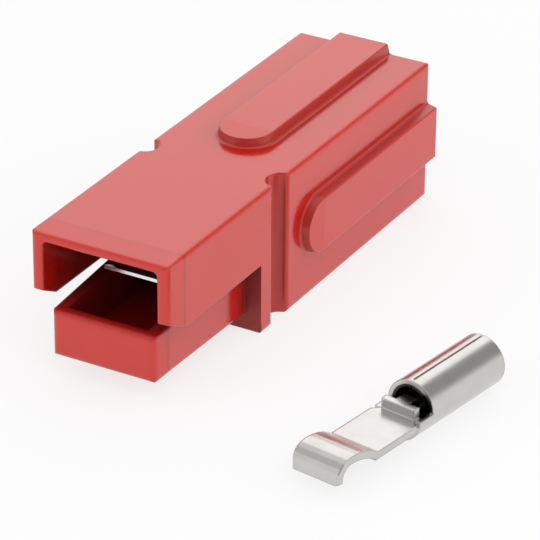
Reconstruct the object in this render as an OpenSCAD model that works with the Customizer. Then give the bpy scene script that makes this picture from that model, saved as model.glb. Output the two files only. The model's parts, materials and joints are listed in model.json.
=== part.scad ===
// Genderless single-pole power connector: one moulded housing, the leaf
// spring inside its tongue, and the rolled wire contact that goes with it.
// Frame: X across, Y from the mating mouth to the wire entry, Z up. The
// origin is the middle of the wire entry, on the line about which two
// connectors turn to mate.

/* [Housing body] */
// Width and height of the square body
body_w = 15.9; // [15.3:0.1:18]
// Length from the mating mouth to the rear face
body_l = 54.1; // [50:0.2:66]
// Fillet along the four long edges
edge_r = 0.45; // [0.2:0.05:0.5]
// Radius of the upright corners at the mouth
mouth_r = 0.65; // [0.4:0.05:0.75]
// Radius round the rear face
rear_r = 0.25; // [0.1:0.05:0.4]

/* [Hood] */
// Depth of the mating mouth, from the front face to the stop face
mate_depth = 18; // [16:0.2:20]
// Thickness of the two side walls of the hood
hood_wall = 1.45; // [1.35:0.05:1.8]
// Thickness of the roof of the hood
hood_roof = 1.05; // [1:0.05:1.6]
// Radius inside the hood where its roof meets its walls
hood_in_r = 0.5; // [0.3:0.05:1.2]
// Rounding of the mouth's inner edge
rim_r = 0.4; // [0.2:0.05:0.4]
// Rounding of the inner edge below each side wall of the hood
wall_end_r = 0.5; // [0.2:0.05:0.7]
// Length of the lead-in at the front of the hood and the tongue
lead_l = 3; // [2:0.1:4]
// Rise of the hood's lower edge over the lead-in
lead_rise = 1.6; // [1:0.05:2.4]
// Draw-in of each outer face at the very front of the lead-in
lead_in = 0.12; // [0.05:0.01:0.25]

/* [Tongue] */
// Running gap between the tongue and the hood wall of the mating part
mate_gap = 0.45; // [0.3:0.05:0.7]
// Height of the tongue's underside above the body's, at the stop face
tongue_lift = 1.75; // [1.5:0.05:2.2]
// Rise of the tongue's underside from the stop face to the front
tongue_rise = 0.5; // [0.2:0.05:0.6]
// Setback of the tongue's front face from the hood's front face
tongue_back = 0.5; // [0.2:0.05:1]
// Thickness of the tongue's side walls
tongue_wall = 1.4; // [1:0.05:1.6]
// Thickness of the tongue's floor at the stop face
tongue_floor = 1.4; // [1.2:0.05:1.6]
// Radius of the tongue's upright front corners
tongue_r = 0.75; // [0.4:0.05:1]
// Radius along the tongue's lower edges
tongue_foot_r = 0.5; // [0.3:0.05:0.7]
// Radius along the outer edges of the tongue's rim
tongue_rim_r = 0.4; // [0.2:0.05:0.6]
// Tilt in degrees of the tongue's rim, which crosses mid-height at half depth
rim_tilt = 4.5; // [3:0.1:5]
// Thickness of the lip across the front of the tongue
lip_t = 1.2; // [1:0.1:1.8]
// Radius of the rounded top of the lip
lip_r = 0.9; // [0.4:0.05:0.9]

/* [Pin grooves] */
// Distance from the stop face to the middle of the grooves
groove_y = 3.8; // [3.2:0.1:4.4]
// Radius of the retaining pin that two joined housings share
pin_r = 1.55; // [1.2:0.05:1.8]
// Rounding of the groove's two lips
groove_lip = 0.4; // [0.2:0.05:0.6]

/* [Dovetail rails] */
// Width of a rail across its outer face
rail_w = 6; // [5:0.1:7]
// Height of a rail
rail_h = 1.12; // [0.8:0.02:1.3]
// Draw-in of a rail's flank from its foot to its outer face
rail_draft = 0.15; // [0.05:0.05:0.4]
// Fillet at the foot of a rail
rail_foot_r = 0.3; // [0.15:0.05:0.4]
// Rounding of a rail's outer edge
rail_edge_r = 0.2; // [0.1:0.05:0.3]
// Distance from the mouth to the tip of the rails
rail_y = 26; // [25.4:0.2:30]
// Slope-off of the outer face at the tip of a rail
rail_slope = 0.15; // [0.05:0.05:0.3]
// Clearance all round a rail in the groove of the next housing
rail_gap = 0.12; // [0.05:0.01:0.2]

/* [Contact channel] */
// Height of the channel's roof above the body's underside
channel_top = 11.6; // [10.8:0.1:12.4]
// Diameter of the wire entry at the rear
entry_d = 10.4; // [9.6:0.1:11]
// Depth of the wire entry from the rear face
entry_l = 21; // [15:0.5:22]

/* [Leaf spring] */
// Thickness of the spring strip
spring_t = 0.35; // [0.3:0.05:0.5]
// Gap on each side of the strip in its trough
spring_side = 0.25; // [0.15:0.05:0.6]
// Distance from the mouth to the strip's free end
spring_tip_y = 8; // [7:0.2:10]
// Rise of the free end above the strip's flat tail
spring_rise = 5.7; // [4:0.1:6.4]
// Distance from the mouth to the bend where the strip starts to rise
spring_bend_y = 20.5; // [19.6:0.1:21]
// Radius of that bend
spring_bend_r = 3; // [2:0.5:4]
// Gap between the spring and the surfaces that hold it
spring_gap = 0.1; // [0.05:0.01:0.2]
// Distance from the stop face to the bridge over the spring's tail
bridge_y = 4; // [3.5:0.1:5]
// Length of the bridge
bridge_l = 2.6; // [2:0.1:3]
// Thickness of the bridge, and of the wall that closes it
bridge_t = 0.9; // [0.7:0.1:1.2]

/* [Contact] */
// Thickness of the contact's rolled sheet
sheet_t = 0.8; // [0.6:0.05:1]
// Outer diameter of the wire barrel
barrel_d = 5.5; // [4.8:0.1:6.4]
// Length of the wire barrel
barrel_l = 11.8; // [9:0.2:14]
// Width of the butt seam along the barrel
seam_w = 0.16; // [0.1:0.02:0.3]
// Width of the contact blade
blade_w = 5.6; // [5:0.1:6.4]
// Length of the flat blade
blade_l = 6.8; // [5:0.2:9]
// Draw-in of the blade's rear corners
blade_chamfer = 0.7; // [0.3:0.1:1.2]
// Length of the trough between blade and barrel
neck_l = 2.1; // [1.6:0.1:3]
// Height of the shoulder wall above the blade
shoulder_h = 1.1; // [0.8:0.05:1.4]
// Width of the shoulder wall
shoulder_w = 4; // [3.6:0.1:4.2]
// Width of the wire stop that runs back from the shoulder's top
stop_w = 1.6; // [1.2:0.1:2]
// Gap between the wire stop and the end of the barrel
stop_gap = 0.1; // [0.05:0.05:0.4]
// Widening of the trough inside, beyond the barrel's bore
neck_flare = 0.25; // [0.2:0.05:0.3]
// Height of the latch hump above the blade
hump_h = 1.35; // [1:0.05:1.5]
// Length of the latch hump from the blade to the crest
hump_l = 4.2; // [3.8:0.1:5]
// Radius of the hook in front of the crest
hook_r = 2.1; // [1.9:0.05:2.3]
// Drop of the hook's tip below the blade
hook_drop = 0.95; // [0.85:0.05:1.3]
// Radius of the blade's corners at the hook
hook_corner = 0.5; // [0.2:0.1:0.9]

/* [Contact beside the housing] */
// Sideways distance from the housing's middle to the contact's latch
contact_x = 28.5; // [18:0.5:40]
// Distance from the mouth back to the contact's latch
contact_y = 0; // [-5:0.5:20]
// Turn of the contact away from the housing's length
contact_turn = 9; // [0:1:20]

/* [Hidden] */
$fn = 64;
arc_steps = 6;
// Reach of a cutter past a face, and of one cut into the next
over = 1;
lap = 0.01;

half = body_w / 2;
split_z = half;
stop_y = mate_depth;
// Rounding below the stop face
stop_r = 0.3;

hood_half = half - hood_wall;
hood_top = body_w - hood_roof;
tongue_half = hood_half - mate_gap;
trough_half = tongue_half - tongue_wall;
floor_z = tongue_lift + tongue_floor;
lip_y = tongue_back + lip_t;
under_tilt = atan(tongue_rise / stop_y);

rail_arc_y = rail_y + rail_w / 2 + rail_draft;
entry_r = entry_d / 2;
entry_y = body_l - entry_l;

bridge_front = stop_y + bridge_y;
bridge_back = bridge_front + bridge_l;
slot_h = spring_t + 2 * spring_gap;
slot_back = bridge_back - bridge_t;

barrel_r = barrel_d / 2;
bore_r = barrel_r - sheet_t;

// ---- Shared shapes -------------------------------------------------

// Sweeps an XZ outline along Y
module along_y(from, to) {
    translate([0, to, 0]) rotate([90, 0, 0])
        linear_extrude(to - from) children();
}

// Sweeps a YZ outline across X, centred on X
module across_x(w) {
    translate([-w / 2, 0, 0]) rotate([90, 0, 90]) linear_extrude(w) children();
}

// Rectangle standing on the first axis and centred on it, corners round
module round_box(w, h, r) {
    for (sx = [-1, 1], z = [r, h - r])
        translate([sx * (w / 2 - r), z]) circle(r);
    translate([r - w / 2, 0]) square([w - 2 * r, h]);
    translate([-w / 2, r]) square([w, h - 2 * r]);
}

// Points of an arc about c, from angle a to angle b
function arc(c, r, a, b) = [
    for (i = [0:arc_steps])
        let (t = a + (b - a) * i / arc_steps) c + r * [cos(t), sin(t)]
];

// ---- Housing -------------------------------------------------------

// Plan of the body: upright corners round, sides drawn in to the mouth
module body_plan() {
    front_half = half - lead_in;
    right = concat(
        arc([front_half - mouth_r, mouth_r], mouth_r, -90, 0),
        [[half, lead_l]],
        arc([half - rear_r, body_l - rear_r], rear_r, 0, 90)
    );
    polygon(concat(right, [for (i = [len(right) - 1:-1:0]) [-right[i].x, right[i].y]]));
}

// Side view of the body: roof drawn in to the mouth, rear edges round
module body_side() {
    roof = body_w - lead_in;
    polygon(concat(
        [[0, 0]],
        arc([body_l - rear_r, rear_r], rear_r, -90, 0),
        arc([body_l - rear_r, body_w - rear_r], rear_r, 0, 90),
        [[lead_l, body_w]],
        arc([edge_r, roof - edge_r], edge_r, 90, 180)
    ));
}

module body_block() {
    intersection() {
        along_y(-over, body_l + over) round_box(body_w, body_w, edge_r);
        translate([0, 0, -over]) linear_extrude(body_w + 2 * over) body_plan();
        across_x(body_w + 2 * over) body_side();
    }
}

// Space below the hood that the mating hood slides into
module below_hood() {
    across_x(body_w + 2 * over) polygon(concat(
        arc([stop_y + stop_r, stop_r], stop_r, 270, 180),
        [
            [stop_y, split_z], [lead_l, split_z], [0, split_z + lead_rise],
            [-over, split_z + lead_rise], [-over, -over], [stop_y + stop_r, -over]
        ]
    ));
}

// Half outline of the mouth, out to reach, flared by the rounding of its rim
function rim_outline(reach) = concat(
    [[0, -over], [reach + rim_r, -over]],
    arc([reach + rim_r, rim_r], rim_r, 270, 180),
    [[reach, stop_y], [0, stop_y]]
);

// Space inside the hood that the mating tongue slides into
module hood_mouth() {
    corner_x = hood_half - hood_in_r;
    corner_z = hood_top - hood_in_r;
    for (sx = [-1, 1]) {
        translate([0, 0, split_z - over]) linear_extrude(corner_z - split_z + over)
            polygon([for (q = rim_outline(hood_half)) [sx * q.x, q.y]]);
        translate([sx * corner_x, 0, corner_z]) rotate([-90, 0, 0])
            rotate_extrude() polygon(rim_outline(hood_in_r));
    }
    across_x(2 * corner_x)
        polygon([for (q = rim_outline(hood_in_r)) [q.y, corner_z + q.x]]);
    end_x = hood_half + wall_end_r;
    along_y(0, stop_y) polygon(concat(
        arc([end_x, split_z + wall_end_r], wall_end_r, 180, 270),
        [[end_x, split_z - over], [-end_x, split_z - over]],
        arc([-end_x, split_z + wall_end_r], wall_end_r, -90, 0)
    ));
}

// Height of the tongue's rim at depth y
function rim_z(y) = split_z + tan(rim_tilt) * (y - stop_y / 2);

// Side view of the tongue: round lip, sloping rim, drafted underside
module tongue_side() {
    foot_c = [tongue_back + tongue_foot_r, tongue_lift + tongue_rise + tongue_foot_r];
    lip_c = [tongue_back + lip_r, rim_z(tongue_back + lip_r) - lip_r / cos(rim_tilt)];
    polygon(concat(
        arc(foot_c, tongue_foot_r, 180, 270 - under_tilt),
        [[stop_y + over, tongue_lift - tan(under_tilt) * over]],
        [[stop_y + over, rim_z(stop_y + over)]],
        arc(lip_c, lip_r, 90 + rim_tilt, 180)
    ));
}

// Plan of the tongue: round front corners, sides drawn in to the mouth
module tongue_plan() {
    front_half = tongue_half - lead_in;
    right = concat(
        arc([front_half - tongue_r, tongue_back + tongue_r], tongue_r, -90, 0),
        [[tongue_half, lead_l], [tongue_half, stop_y + over]]
    );
    polygon(concat(right, [for (i = [len(right) - 1:-1:0]) [-right[i].x, right[i].y]]));
}

// Long edges of the tongue rounded: its rim from above, its foot from below
module tongue() {
    intersection() {
        across_x(2 * tongue_half) tongue_side();
        linear_extrude(body_w) tongue_plan();
        translate([0, stop_y / 2, split_z]) rotate([rim_tilt, 0, 0])
            translate([0, 0, -body_w]) along_y(-stop_y, stop_y)
                round_box(2 * tongue_half, body_w, tongue_rim_r);
        translate([0, stop_y, tongue_lift]) rotate([-under_tilt, 0, 0])
            along_y(-2 * stop_y, stop_y)
                round_box(2 * tongue_half, body_w, tongue_foot_r);
    }
}

// Trough of the tongue and the channel that carries on from it
module contact_channel() {
    translate([-trough_half, lip_y, floor_z])
        cube([2 * trough_half, stop_y - lip_y, hood_top - floor_z - hood_in_r]);
    translate([-trough_half, stop_y - over, floor_z])
        cube([2 * trough_half, entry_y - stop_y + over + lap, channel_top - floor_z]);
}

// Round wire entry from the rear face to the channel
module wire_entry() {
    translate([0, body_l + over, half]) rotate([90, 0, 0])
        cylinder(h = entry_l + over, r = entry_r);
}

// Plan of an upright half-round groove with round lips, its pin on the origin
module groove_plan() {
    lip_x = sqrt(pow(pin_r + groove_lip, 2) - pow(groove_lip, 2));
    circle(pin_r);
    difference() {
        polygon([
            [lip_x, over], [lip_x, 0], [lip_x, -groove_lip], [0, 0],
            [-lip_x, -groove_lip], [-lip_x, 0], [-lip_x, over]
        ]);
        for (sx = [-1, 1]) translate([sx * lip_x, -groove_lip]) circle(groove_lip);
    }
}

module pin_grooves() {
    for (sx = [-1, 1])
        translate([sx * half, stop_y + groove_y, -over]) rotate(-sx * 90)
            linear_extrude(body_w + 2 * over) groove_plan();
}

// Half of a rail's section: foot fillet, drafted flank, round outer edge
function rail_half(grow) =
    let (
        foot_x = rail_w / 2 + rail_draft + grow,
        face_x = rail_w / 2 + grow,
        face_z = rail_h + grow
    )
    concat(
        [[0, -over], [foot_x + rail_foot_r, -over]],
        arc([foot_x + rail_foot_r, rail_foot_r], rail_foot_r, 270, 180),
        arc([face_x - rail_edge_r, face_z - rail_edge_r], rail_edge_r, 0, 90),
        [[0, face_z]]
    );

// Rail standing on the XY plane, round at its tip and open at the rear
module rail(grow, end) {
    section = rail_half(grow);
    translate([0, rail_arc_y, 0]) rotate_extrude() polygon(section);
    along_y(rail_arc_y, end)
        polygon(concat(section, [for (i = [len(section) - 2:-1:1]) [-section[i].x, section[i].y]]));
}

// Rail whose outer face slopes off towards its tip
module sloped_rail() {
    difference() {
        rail(0, body_l - rear_r / 2);
        across_x(2 * rail_w) polygon([
            [rail_y - over, rail_h - rail_slope], [rail_y, rail_h - rail_slope],
            [rail_arc_y, rail_h], [rail_arc_y, rail_h + over], [rail_y - over, rail_h + over]
        ]);
    }
}

// Stands what rises from the XY plane up on the right-hand side at x
module on_side(x) {
    translate([x, 0, half]) rotate([0, 90, 0]) children();
}

// Bridge that holds the tail of the leaf spring down, closed at its rear
module spring_bridge() {
    across_x(2 * trough_half + 2 * bridge_t) polygon([
        [bridge_front, floor_z + slot_h], [slot_back, floor_z + slot_h],
        [slot_back, floor_z - bridge_t], [bridge_back, floor_z - bridge_t],
        [bridge_back, floor_z + slot_h + bridge_t / 2],
        [bridge_back - bridge_t / 2, floor_z + slot_h + bridge_t],
        [bridge_front + bridge_t / 2, floor_z + slot_h + bridge_t],
        [bridge_front, floor_z + slot_h + bridge_t / 2]
    ]);
}

module housing() {
    color([0.72, 0.06, 0.05]) translate([0, -body_l, -half]) {
        difference() {
            union() {
                difference() {
                    body_block();
                    below_hood();
                    hood_mouth();
                }
                tongue();
                translate([0, 0, body_w]) sloped_rail();
                on_side(half) sloped_rail();
            }
            contact_channel();
            wire_entry();
            pin_grooves();
            rail(rail_gap, body_l + over);
            on_side(-half) rail(rail_gap, body_l + over);
        }
        spring_bridge();
    }
}

// ---- Leaf spring ---------------------------------------------------

spring_angle = atan(spring_rise / (spring_bend_y - spring_tip_y));

// The strip's surface offset by s from its middle line, tail to free end
function spring_face(s) = concat(
    [[slot_back - spring_gap, s]],
    arc(
        [spring_bend_y + spring_bend_r * tan(spring_angle / 2), spring_bend_r],
        spring_bend_r - s, 270, 270 - spring_angle
    ),
    [[spring_tip_y + s * sin(spring_angle), spring_rise + s * cos(spring_angle)]]
);

module leaf_spring() {
    upper = spring_face(spring_t / 2);
    lower = spring_face(-spring_t / 2);
    color([0.78, 0.79, 0.8])
        translate([0, -body_l, floor_z + spring_gap + spring_t / 2 - half])
            across_x(2 * (trough_half - spring_side))
                polygon(concat(upper, [for (i = [len(lower) - 1:-1:0]) lower[i]]));
}

// ---- Contact, its barrel lying along Y on the XY plane -------------

blade_z = barrel_r;
rim_y = blade_l + neck_l;
hump_r = (pow(hump_l, 2) + pow(hump_h, 2)) / (2 * hump_h);
hump_angle = asin(hump_l / hump_r);
hook_angle = 90 + asin((hook_drop + hump_h - hook_r) / hook_r);

// Rolled barrel with its butt seam on top
module barrel() {
    difference() {
        rotate([-90, 0, 0]) cylinder(h = barrel_l, r = barrel_r);
        translate([0, -over, 0]) rotate([-90, 0, 0])
            cylinder(h = barrel_l + 2 * over, r = bore_r);
        translate([-seam_w / 2, -over, 0])
            cube([seam_w, barrel_l + 2 * over, barrel_d]);
    }
}

// Open trough that joins barrel and blade, with shoulder wall and wire stop
module neck() {
    difference() {
        rotate([-90, 0, 0]) cylinder(h = neck_l + sheet_t / 2, r = barrel_r);
        translate([0, sheet_t, 0]) rotate([-90, 0, 0])
            cylinder(h = neck_l + over, r = bore_r + neck_flare);
        translate([-barrel_d / 2 - over, -over, 0])
            cube([barrel_d + 2 * over, neck_l + over, barrel_d]);
    }
    translate([-shoulder_w / 2, 0, -sheet_t]) cube([shoulder_w, sheet_t, shoulder_h + sheet_t]);
    translate([-stop_w / 2, 0, shoulder_h - sheet_t])
        cube([stop_w, neck_l - stop_gap, sheet_t]);
}

// Side view of the latch: hump, hook and the sheet's inner face
module latch_side() {
    hump_c = [-hump_l, hump_h - hump_r];
    hook_c = [-hump_l, hump_h - hook_r];
    polygon(concat(
        arc(hump_c, hump_r, 90 - hump_angle, 90),
        arc(hook_c, hook_r, 90, 90 + hook_angle),
        arc(hook_c, hook_r - sheet_t, 90 + hook_angle, 90),
        arc(hump_c, hump_r - sheet_t, 90, 90 - hump_angle)
    ));
    translate([-sheet_t / 2, -sheet_t]) square([blade_l + sheet_t, sheet_t]);
}

// Plan of blade and latch: round corners at the hook, drawn in at the neck
module blade_plan() {
    tip_y = -hump_l - hook_r;
    right = concat(
        arc([blade_w / 2 - hook_corner, tip_y + hook_corner], hook_corner, -90, 0),
        [
            [blade_w / 2, blade_l - blade_chamfer],
            [blade_w / 2 - blade_chamfer, blade_l],
            [blade_w / 2 - blade_chamfer, blade_l + sheet_t]
        ]
    );
    polygon(concat(right, [for (i = [len(right) - 1:-1:0]) [-right[i].x, right[i].y]]));
}

module contact() {
    color([0.86, 0.85, 0.83])
        translate([contact_x, contact_y - body_l, blade_z - half]) rotate(-contact_turn) {
            translate([0, rim_y, 0]) barrel();
            translate([0, blade_l, 0]) neck();
            intersection() {
                across_x(blade_w) latch_side();
                translate([0, 0, -barrel_r]) linear_extrude(barrel_d) blade_plan();
            }
        }
}

housing();
leaf_spring();
contact();
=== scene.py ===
import json
import math

import bpy
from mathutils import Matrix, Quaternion, Vector


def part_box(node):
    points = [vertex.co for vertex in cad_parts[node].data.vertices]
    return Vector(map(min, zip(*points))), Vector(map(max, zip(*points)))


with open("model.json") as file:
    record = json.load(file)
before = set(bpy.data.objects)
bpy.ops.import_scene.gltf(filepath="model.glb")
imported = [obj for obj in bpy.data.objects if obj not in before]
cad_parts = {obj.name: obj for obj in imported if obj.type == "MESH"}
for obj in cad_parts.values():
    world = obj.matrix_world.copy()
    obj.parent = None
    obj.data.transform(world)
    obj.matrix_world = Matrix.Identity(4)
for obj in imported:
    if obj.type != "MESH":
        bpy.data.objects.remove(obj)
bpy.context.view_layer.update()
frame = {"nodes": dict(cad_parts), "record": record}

MM = 0.001

# Places from the frame: the housing's middle in metres, in millimetres the
# plane of its mouth and half the body's width, and the record's mounts
housing_low, housing_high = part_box("housing")
housing_middle = Vector((0.0, (housing_low.y + housing_high.y) / 2, 0.0))
mouth_y = housing_low.y / MM
body_half = -housing_low.x / MM
mounts = {mount["name"]: mount for mount in frame["record"]["mounts"]}

# Camera: angles in degrees, its distance, lens and target in millimetres, the
# target from the housing's middle, and its clipping in metres
CAMERA_AZIMUTH = 29.44
CAMERA_ELEVATION = 28.13
CAMERA_ROLL = 0.43
CAMERA_DISTANCE = 376.0
CAMERA_LENS = 246.3
CAMERA_TARGET = Vector((6.7, -5.05, -2.7))
CAMERA_CLIP = (0.01, 100.0)

# Floor: its side in metres, its grey and roughness, and the share of plain
# white in what the camera and reflections see of it
FLOOR_SIZE = 4.0
FLOOR_GREY = 0.9
FLOOR_ROUGHNESS = 0.9
FLOOR_WHITE = 0.75

# Level of the surroundings as a light on matt surfaces
AMBIENT = 0.78
# Darker patches in the mirrored surroundings: direction, cosines between
# which each one fades in, and its level
DARK_PATCHES = (
    ((0.45, -0.75, 0.30), 0.45, 0.90, 0.22),
    ((0.47, 0.72, 0.50), 0.86, 0.97, 0.38),
    ((-0.20, -0.45, 0.88), 0.75, 0.96, 0.60),
)

# Softboxes: position from the housing's middle and side in millimetres,
# watts, and whether it shines in gloss
SOFTBOXES = {
    "key_softbox": ((410, -410, 570), 620, 1.4, False),
    "back_softbox": ((-215, 660, 505), 600, 0.6, True),
    "side_softbox": ((700, 240, 330), 560, 1.35, False),
    "left_softbox": ((-420, -620, 260), 420, 0.9, False),
}

# Reds of the housing: the two that the mottle blends, then painted shade in the
# groove of the witness line left by the mould, on the stop face, and in a hollow
RED_LIGHT = (0.56, 0.013, 0.009)
RED_DARK = (0.52, 0.009, 0.006)
RED_LINE_SHADE = (0.40, 0.004, 0.003)
RED_STOP_SHADE = (0.30, 0.003, 0.002)
RED_HOLLOW_SHADE = (0.09, 0.001, 0.001)

# Gloss of the housing: its range of roughness, what the stop face and the
# hollows add, and the plastic's reflection
PLASTIC_ROUGHNESS = (0.13, 0.19)
MATT_EXTRA = 0.4
PLASTIC_IOR = 1.585
PLASTIC_SPECULAR = 0.65
PLASTIC_TINT = (1.0, 0.96, 0.87, 1.0)

# Metals: light and dark colour and range of roughness, and the painted shade
# inside the contact's bore
STAINLESS = ((0.93, 0.93, 0.94), (0.88, 0.88, 0.89), (0.16, 0.26))
SILVER = ((0.60, 0.59, 0.575), (0.56, 0.548, 0.533), (0.20, 0.28))
BORE_SHADE = (0.07, 0.065, 0.06)

# Radii in metres to which the shading rounds edges, and how far in from the
# body's faces, in millimetres, the wider one of its long corners fades in
EDGE_HOUSING = 0.12 * MM
EDGE_MOUTH = 0.4 * MM
EDGE_CORNER = 0.5 * MM
EDGE_METAL = 0.08 * MM
EDGE_CONTACT = 0.25 * MM
CORNER_FADE = (1.55, 0.95)

# Noises: features per millimetre along each axis, and detail. The range that
# noise values mostly fill, and the depth of all fine bumps in millimetres
MOTTLE = ((0.22, 0.077, 0.22), 2.0)
CLOUD = ((0.9, 0.9, 0.9), 4.0)
PEEL = ((2.6, 2.6, 2.6), 2.0)
PLATING = ((0.55, 0.55, 0.55), 3.0)
STREAKS = ((5.0, 0.3, 5.0), 4.0)
NOISE_RANGE = (0.3, 0.7)
BUMP_DEPTH = 0.003

# Painted shade in hollows: the distance in metres within which walls count, and
# the openness at which a place is wholly shaded and wholly open. Then the shares
# of painted hollow shade between which the surface turns matt
HOLLOW_REACH = 0.012
HOLLOW_OPENNESS = (0.1, 0.95)
MATT_FADE = (0.2, 0.7)

# Painted shade in the groove of the witness line, in millimetres: its depth
# behind the mouth, half its width and its soft edge. Then its strength on top and
# on the sides, and the shares of painted hollow shade between which it goes
WITNESS_DEPTH = 3.05
LINE_HALF = 0.13
LINE_SOFT = 0.12
LINE_STRENGTH = (0.45, 1.0)
LINE_FADE = (0.2, 0.4)

# Painted shade on the stop face, in millimetres: its depth behind the mouth, and
# half the depth and soft edge of the band that holds it. Then how squarely it faces the mouth
STOP_DEPTH = 18.0
STOP_HALF = 0.05
STOP_SOFT = 0.02
STOP_FACING = 0.9

# Painted shade in the contact, in millimetres: the sheet's share round the bore,
# the trough in front of the barrel, and the top of the wire stop above the axis
BORE_MARGIN = 0.35
TROUGH_LENGTH = 1.25
STOP_TOP = 1.05


# ---- Node helpers ---------------------------------------------------

def new_material(name):
    """An empty material with its tree and its shader."""
    material = bpy.data.materials.new(name)
    material.use_nodes = True
    tree = material.node_tree
    return material, tree, tree.nodes["Principled BSDF"]


def add_node(tree, kind, **values):
    """A node with its named inputs or properties set."""
    node = tree.nodes.new(kind)
    for name, value in values.items():
        if name in node.inputs:
            node.inputs[name].default_value = value
        else:
            setattr(node, name, value)
    return node


def math_node(tree, operation, *values):
    """Result of one Math node; each value is a socket or a number."""
    node = add_node(tree, "ShaderNodeMath", operation=operation)
    for socket, value in zip(node.inputs, values):
        if isinstance(value, (int, float)):
            socket.default_value = value
        else:
            tree.links.new(value, socket)
    return node.outputs["Value"]


def ramp(tree, value, start, end, low, high, shape="LINEAR"):
    """Low up to start, high from end on, and the shape's curve between them."""
    node = add_node(tree, "ShaderNodeMapRange", interpolation_type=shape, **{
        "From Min": start, "From Max": end, "To Min": low, "To Max": high})
    tree.links.new(value, node.inputs["Value"])
    return node.outputs["Result"]


def band(tree, value, low, high, soft):
    """1 where value lies between low and high, fading over soft."""
    rise = ramp(tree, value, low - soft, low, 0.0, 1.0, "SMOOTHSTEP")
    fall = ramp(tree, value, high, high + soft, 1.0, 0.0, "SMOOTHSTEP")
    return math_node(tree, "MULTIPLY", rise, fall)


def split(tree, vector):
    """The three parts of a vector."""
    parts = tree.nodes.new("ShaderNodeSeparateXYZ")
    tree.links.new(vector, parts.inputs["Vector"])
    return [parts.outputs[axis] for axis in "XYZ"]


def object_coords(tree, origin=Vector(), turn=0.0):
    """Object coordinates in millimetres, from an origin and turned about Z."""
    coords = tree.nodes.new("ShaderNodeTexCoord")
    mapping = add_node(tree, "ShaderNodeMapping", vector_type="TEXTURE",
                       Location=origin, Rotation=(0.0, 0.0, turn), Scale=(MM, MM, MM))
    tree.links.new(coords.outputs["Object"], mapping.inputs["Vector"])
    return mapping.outputs["Vector"]


def noise(tree, vector, scales, detail):
    """Noise between 0 and 1 with features of 1 / scale along each axis."""
    mapping = add_node(tree, "ShaderNodeMapping", Scale=scales)
    tree.links.new(vector, mapping.inputs["Vector"])
    node = add_node(tree, "ShaderNodeTexNoise", Scale=1.0, Detail=detail)
    tree.links.new(mapping.outputs["Vector"], node.inputs["Vector"])
    return node.outputs["Fac"]


def spread(tree, value, low, high):
    """Maps a noise value onto the range low to high."""
    return ramp(tree, value, *NOISE_RANGE, low, high)


def mix_colour(tree, factor, first, second):
    """Turns the first colour, a socket or numbers, to the second by factor."""
    mix = tree.nodes.new("ShaderNodeMix")
    mix.data_type = "RGBA"
    if isinstance(first, tuple):
        mix.inputs["A"].default_value = (*first, 1.0)
    else:
        tree.links.new(first, mix.inputs["A"])
    mix.inputs["B"].default_value = (*second, 1.0)
    tree.links.new(factor, mix.inputs["Factor"])
    return mix.outputs["Result"]


def add_bump(tree, shader, height, edge):
    """Fine bumps over edges rounded by edge, a socket or metres."""
    bump = add_node(tree, "ShaderNodeBump", Strength=1.0, Distance=BUMP_DEPTH * MM)
    tree.links.new(height, bump.inputs["Height"])
    bevel = add_node(tree, "ShaderNodeBevel", samples=6)
    if isinstance(edge, float):
        bevel.inputs["Radius"].default_value = edge
    else:
        tree.links.new(edge, bevel.inputs["Radius"])
    tree.links.new(bevel.outputs["Normal"], bump.inputs["Normal"])
    tree.links.new(bump.outputs["Normal"], shader.inputs["Normal"])


def seen_ray(tree):
    """1 on camera, glossy and transmission rays."""
    path = tree.nodes.new("ShaderNodeLightPath")
    total = path.outputs["Is Camera Ray"]
    for name in ("Is Glossy Ray", "Is Transmission Ray"):
        total = math_node(tree, "MAXIMUM", total, path.outputs[name])
    return total


# ---- Masks ----------------------------------------------------------

def hollow_shade_share(tree):
    """Share of painted shade from occlusion: 1 deep inside the mouth, about a half beside a
    wall, 0 on open faces.
    """
    hollow_shade = add_node(tree, "ShaderNodeAmbientOcclusion", samples=8, only_local=True,
                      Distance=HOLLOW_REACH)
    return ramp(tree, hollow_shade.outputs["AO"], *HOLLOW_OPENNESS, 1.0, 0.0)


def witness_groove_shade(tree, y, side, hollow_shade):
    """Painted shade in the witness line's groove round the mouth, fainter on top and none
    inside.
    """
    middle = mouth_y + WITNESS_DEPTH
    line = band(tree, y, middle - LINE_HALF, middle + LINE_HALF, LINE_SOFT)
    line = math_node(tree, "MULTIPLY", line, ramp(tree, side, 0.0, 1.0, *LINE_STRENGTH))
    return math_node(tree, "MULTIPLY", line, ramp(tree, hollow_shade, *LINE_FADE, 1.0, 0.0))


def stop_shade_share(tree, y, front):
    """1 on the stop face behind the tongue, where shade is painted."""
    plane = mouth_y + STOP_DEPTH
    near = band(tree, y, plane - STOP_HALF, plane + STOP_HALF, STOP_SOFT)
    return math_node(tree, "MULTIPLY", near, math_node(tree, "GREATER_THAN", front, STOP_FACING))


def bore_shade_share(tree, space, radius, length):
    """1 inside the contact's barrel and in the trough in front of it, where shade is painted."""
    x, y, z = split(tree, space)
    squares = (math_node(tree, "MULTIPLY", part, part) for part in (x, z))
    reach = radius + BORE_MARGIN
    within = math_node(tree, "LESS_THAN", math_node(tree, "ADD", *squares), reach ** 2)
    behind = math_node(tree, "GREATER_THAN", y, -length - TROUGH_LENGTH)
    top = ramp(tree, y, -length - 0.1, -length, STOP_TOP, reach)
    below = math_node(tree, "LESS_THAN", z, top)
    return math_node(tree, "MULTIPLY", math_node(tree, "MULTIPLY", within, behind), below)


def dark_patch(tree, direction, fade_from, fade_to, level):
    """Level of the surroundings round one direction, 1 away from it."""
    coords = tree.nodes.new("ShaderNodeTexCoord")
    facing = add_node(tree, "ShaderNodeVectorMath", operation="DOT_PRODUCT")
    facing.inputs[1].default_value = Vector(direction).normalized()
    tree.links.new(coords.outputs["Generated"], facing.inputs[0])
    return ramp(tree, facing.outputs["Value"], fade_from, fade_to, 1.0, level, "SMOOTHSTEP")


# ---- Materials ------------------------------------------------------

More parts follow.
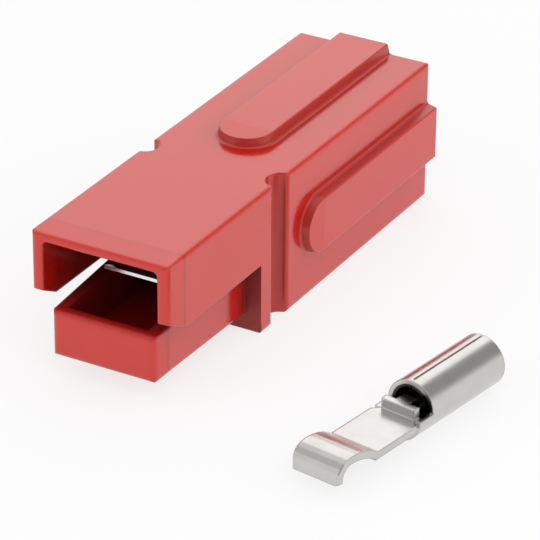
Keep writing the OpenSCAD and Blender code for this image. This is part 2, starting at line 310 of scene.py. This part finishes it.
def housing_rounding(tree, x, y, z):
    """Edge radius: widest along the body's long corners and at the mouth."""
    corner = math_node(tree, "MINIMUM", *(math_node(tree, "ABSOLUTE", part) for part in (x, z)))
    fade = [body_half - inward for inward in CORNER_FADE]
    line = mouth_y + WITNESS_DEPTH
    return math_node(tree, "MAXIMUM",
                     ramp(tree, y, line, line + 1.0, EDGE_MOUTH, EDGE_HOUSING),
                     ramp(tree, corner, *fade, EDGE_HOUSING, EDGE_CORNER))


def moulded_red():
    """Semi-gloss red plastic, matt on the stop face and in hollows, with shade painted there and
    in the witness line's groove.
    """
    material, tree, shader = new_material("moulded_red")
    space = object_coords(tree)
    x, y, z = split(tree, space)
    geometry = tree.nodes.new("ShaderNodeNewGeometry")
    normal = split(tree, geometry.outputs["Normal"])
    side, front = (math_node(tree, "ABSOLUTE", part) for part in normal[:2])
    hollow_shade = hollow_shade_share(tree)
    stop_shade = stop_shade_share(tree, y, front)
    colour = mix_colour(tree, noise(tree, space, *MOTTLE), RED_DARK, RED_LIGHT)
    # Painted shade: darker in the witness line's groove, on the stop face and in hollows
    colour = mix_colour(tree, witness_groove_shade(tree, y, side, hollow_shade), colour, RED_LINE_SHADE)
    colour = mix_colour(tree, stop_shade, colour, RED_STOP_SHADE)
    colour = mix_colour(tree, hollow_shade, colour, RED_HOLLOW_SHADE)
    tree.links.new(colour, shader.inputs["Base Color"])
    cloud = noise(tree, space, *CLOUD)
    matt = math_node(tree, "MAXIMUM", stop_shade, ramp(tree, hollow_shade, *MATT_FADE, 0.0, 1.0))
    extra = math_node(tree, "MULTIPLY", matt, MATT_EXTRA)
    roughness = math_node(tree, "ADD", spread(tree, cloud, *PLASTIC_ROUGHNESS), extra)
    tree.links.new(roughness, shader.inputs["Roughness"])
    shader.inputs["IOR"].default_value = PLASTIC_IOR
    shader.inputs["Specular IOR Level"].default_value = PLASTIC_SPECULAR
    shader.inputs["Specular Tint"].default_value = PLASTIC_TINT
    peel = noise(tree, space, *PEEL)
    add_bump(tree, shader, peel, housing_rounding(tree, x, y, z))
    return material


def rolled_metal(name, light, dark, roughness, edge, bore=None):
    """Rolled strip: streaks along the sheet and soft clouds of plating.

    A bore is a mount of the record. The coordinates then start at it and run
    along it, and shade is painted on the metal inside it.
    """
    material, tree, shader = new_material(name)
    if bore:
        along = Vector(bore["axis"])
        space = object_coords(tree, Vector(bore["pos_m"]), -math.atan2(along.x, along.y))
    else:
        space = object_coords(tree)
    clouds = noise(tree, space, *PLATING)
    colour = mix_colour(tree, clouds, light, dark)
    if bore:
        # Painted shade inside the bore and the trough in front of it
        bore_shade = bore_shade_share(tree, space, bore["dims"]["r_mm"], bore["dims"]["length_mm"])
        colour = mix_colour(tree, bore_shade, colour, BORE_SHADE)
    tree.links.new(colour, shader.inputs["Base Color"])
    tree.links.new(spread(tree, clouds, *roughness), shader.inputs["Roughness"])
    shader.inputs["Metallic"].default_value = 1.0
    add_bump(tree, shader, noise(tree, space, *STREAKS), edge)
    return material


def white_floor():
    """Pale floor that the camera and reflections see as white, with its shadow."""
    material, tree, shader = new_material("white_floor")
    shader.inputs["Base Color"].default_value = (FLOOR_GREY, FLOOR_GREY, FLOOR_GREY, 1.0)
    shader.inputs["Roughness"].default_value = FLOOR_ROUGHNESS
    shader.inputs["Specular IOR Level"].default_value = 0.0
    white = add_node(tree, "ShaderNodeEmission", Strength=1.0)
    mix = tree.nodes.new("ShaderNodeMixShader")
    tree.links.new(math_node(tree, "MULTIPLY", seen_ray(tree), FLOOR_WHITE), mix.inputs["Fac"])
    tree.links.new(shader.outputs["BSDF"], mix.inputs[1])
    tree.links.new(white.outputs["Emission"], mix.inputs[2])
    tree.links.new(mix.outputs["Shader"], tree.nodes["Material Output"].inputs["Surface"])
    return material


# ---- Scene ----------------------------------------------------------

def dress(node, material):
    """Gives a CAD node its material."""
    part = frame["nodes"][node]
    part.data.materials.clear()
    part.data.materials.append(material)


def set_world():
    """White to look at, even as a light, and with darker patches in gloss."""
    world = bpy.data.worlds.new("studio")
    bpy.context.scene.world = world
    world.use_nodes = True
    tree = world.node_tree
    mirrored = 1.0
    for patch in DARK_PATCHES:
        mirrored = math_node(tree, "MULTIPLY", mirrored, dark_patch(tree, *patch))
    level = add_node(tree, "ShaderNodeMapRange", **{"To Min": AMBIENT})
    tree.links.new(seen_ray(tree), level.inputs["Value"])
    tree.links.new(mirrored, level.inputs["To Max"])
    path = tree.nodes.new("ShaderNodeLightPath")
    strength = math_node(tree, "MAXIMUM", level.outputs["Result"], path.outputs["Is Camera Ray"])
    tree.links.new(strength, tree.nodes["Background"].inputs["Strength"])
    tree.nodes["Background"].inputs["Color"].default_value = (1.0, 1.0, 1.0, 1.0)


def add_softbox(name, position, size, watts, mirrored):
    """Square area light aimed at the housing; only a mirrored one shines in gloss."""
    data = bpy.data.lights.new(name, "AREA")
    data.size = size * MM
    data.energy = watts
    light = bpy.data.objects.new(name, data)
    bpy.context.scene.collection.objects.link(light)
    light.visible_glossy = mirrored
    light.location = housing_middle + Vector(position) * MM
    light.rotation_mode = "QUATERNION"
    light.rotation_quaternion = Vector(position).to_track_quat("Z", "Y")


def add_floor(height):
    """The plain floor that the object stands on."""
    bpy.ops.mesh.primitive_plane_add(size=FLOOR_SIZE, location=(0.0, 0.0, height))
    floor = bpy.context.object
    floor.name = "floor"
    floor.data.materials.append(white_floor())


def add_camera():
    """Camera on the photograph's side of the housing, aimed past its middle."""
    azimuth, elevation = math.radians(CAMERA_AZIMUTH), math.radians(CAMERA_ELEVATION)
    back = Vector((
        math.sin(azimuth) * math.cos(elevation),
        -math.cos(azimuth) * math.cos(elevation),
        math.sin(elevation),
    ))
    data = bpy.data.cameras.new("camera")
    data.lens = CAMERA_LENS
    data.clip_start, data.clip_end = CAMERA_CLIP
    camera = bpy.data.objects.new("camera", data)
    bpy.context.scene.collection.objects.link(camera)
    camera.location = housing_middle + (CAMERA_TARGET + back * CAMERA_DISTANCE) * MM
    camera.rotation_mode = "QUATERNION"
    roll = Quaternion((0.0, 0.0, 1.0), math.radians(CAMERA_ROLL))
    camera.rotation_quaternion = (-back).to_track_quat("-Z", "Y") @ roll
    bpy.context.scene.camera = camera


dress("housing", moulded_red())
dress("leaf_spring", rolled_metal("stainless", *STAINLESS, EDGE_METAL))
dress("contact", rolled_metal("silver_plate", *SILVER, EDGE_CONTACT, mounts["wire_barrel"]))

set_world()
for name, values in SOFTBOXES.items():
    add_softbox(name, *values)
add_floor(housing_low.z)
add_camera()

bpy.context.scene.view_settings.view_transform = "Standard"
